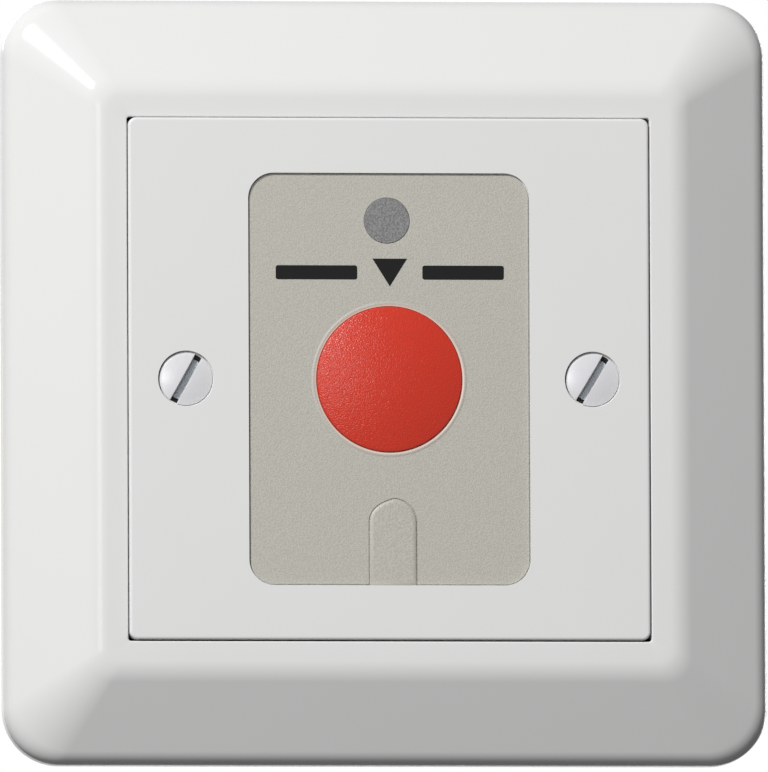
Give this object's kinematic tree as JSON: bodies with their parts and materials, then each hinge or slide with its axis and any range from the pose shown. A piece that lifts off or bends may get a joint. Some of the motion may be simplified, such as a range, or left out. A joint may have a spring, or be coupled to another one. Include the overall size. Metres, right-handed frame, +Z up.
{
  "type": "signal push button",
  "caption": "Flush wall-mounted signal push button: bevelled square surround, screwed plate with a label, sprung round red button and indicator window, and the switch module behind.",
  "frame": {"origin": "on the wall surface, on the axis of the push button", "axes": "+Z up the wall, +Y into the wall, +X to the right as seen from the front; the front faces -Y"},
  "size_m": [0.081, 0.0256, 0.081],
  "materials": {
    "frame_white": "glossy moulded white",
    "plate_white": "satin moulded white",
    "label_grey": "fine-grained warm grey foil",
    "signal_red": "fine-grained satin red",
    "smoky_grey": "smoky satin window",
    "screw_white": "white enamel, bare in the slot",
    "zinc_steel": "zinc plated sheet",
    "screw_steel": "zinc plated, turned",
    "spring_steel": "drawn spring wire",
    "module_grey": "fine-textured dark grey moulding",
    "lid_grey": "light grey moulding",
    "switch_black": "black moulding",
    "board_green": "green solder resist",
    "lamp_red": "red tinted resin",
    "resistor_tan": "tan lacquer",
    "terminal_green": "green moulding",
    "brass": "plain brass"
  },
  "bodies": {
    "base": {"surround_frame": "frame_white", "cover_plate": "plate_white", "overlay_foil": "label_grey", "cord_outlet_blank": "label_grey", "indicator_window": "smoky_grey", "cover_screw_left": "screw_white", "cover_screw_right": "screw_white", "mounting_plate": "zinc_steel", "module_body": "module_grey", "module_front": "lid_grey", "button_spring": "spring_steel", "switch_body": "switch_black", "circuit_board": "board_green", "indicator_led": "lamp_red", "led_spacer": "switch_black", "series_resistor_1": "resistor_tan", "series_resistor_2": "resistor_tan", "reverse_diode": "switch_black", "terminal_block": "terminal_green", "terminal_clamp_1": "brass", "terminal_clamp_2": "brass", "terminal_clamp_3": "brass", "terminal_clamp_4": "brass", "terminal_screw_1": "screw_steel", "terminal_screw_2": "screw_steel", "terminal_screw_3": "screw_steel", "terminal_screw_4": "screw_steel", "board_screw_1": "screw_steel", "board_screw_2": "screw_steel", "board_screw_3": "screw_steel", "board_screw_4": "screw_steel", "module_screw_1": "screw_steel", "module_screw_2": "screw_steel", "module_screw_3": "screw_steel", "module_screw_4": "screw_steel"},
    "button": {"button_cap": "signal_red"},
    "plunger": {"switch_plunger": "lid_grey"}
  },
  "joints": [
    {"name": "button_press", "type": "slide", "parent": "base", "child": "button", "axis": [0, 1, 0], "range_m": [0, 0.0008], "stiffness_N_per_m": 600, "springref_m": -0.004, "deforming": ["button_spring"]},
    {"name": "plunger_travel", "type": "slide", "parent": "base", "child": "plunger", "axis": [0, 1, 0], "range_m": [0, 0.0008]}
  ],
  "couplings": [
    {"joint": "plunger_travel", "follows": "button_press", "ratio": 1}
  ]
}
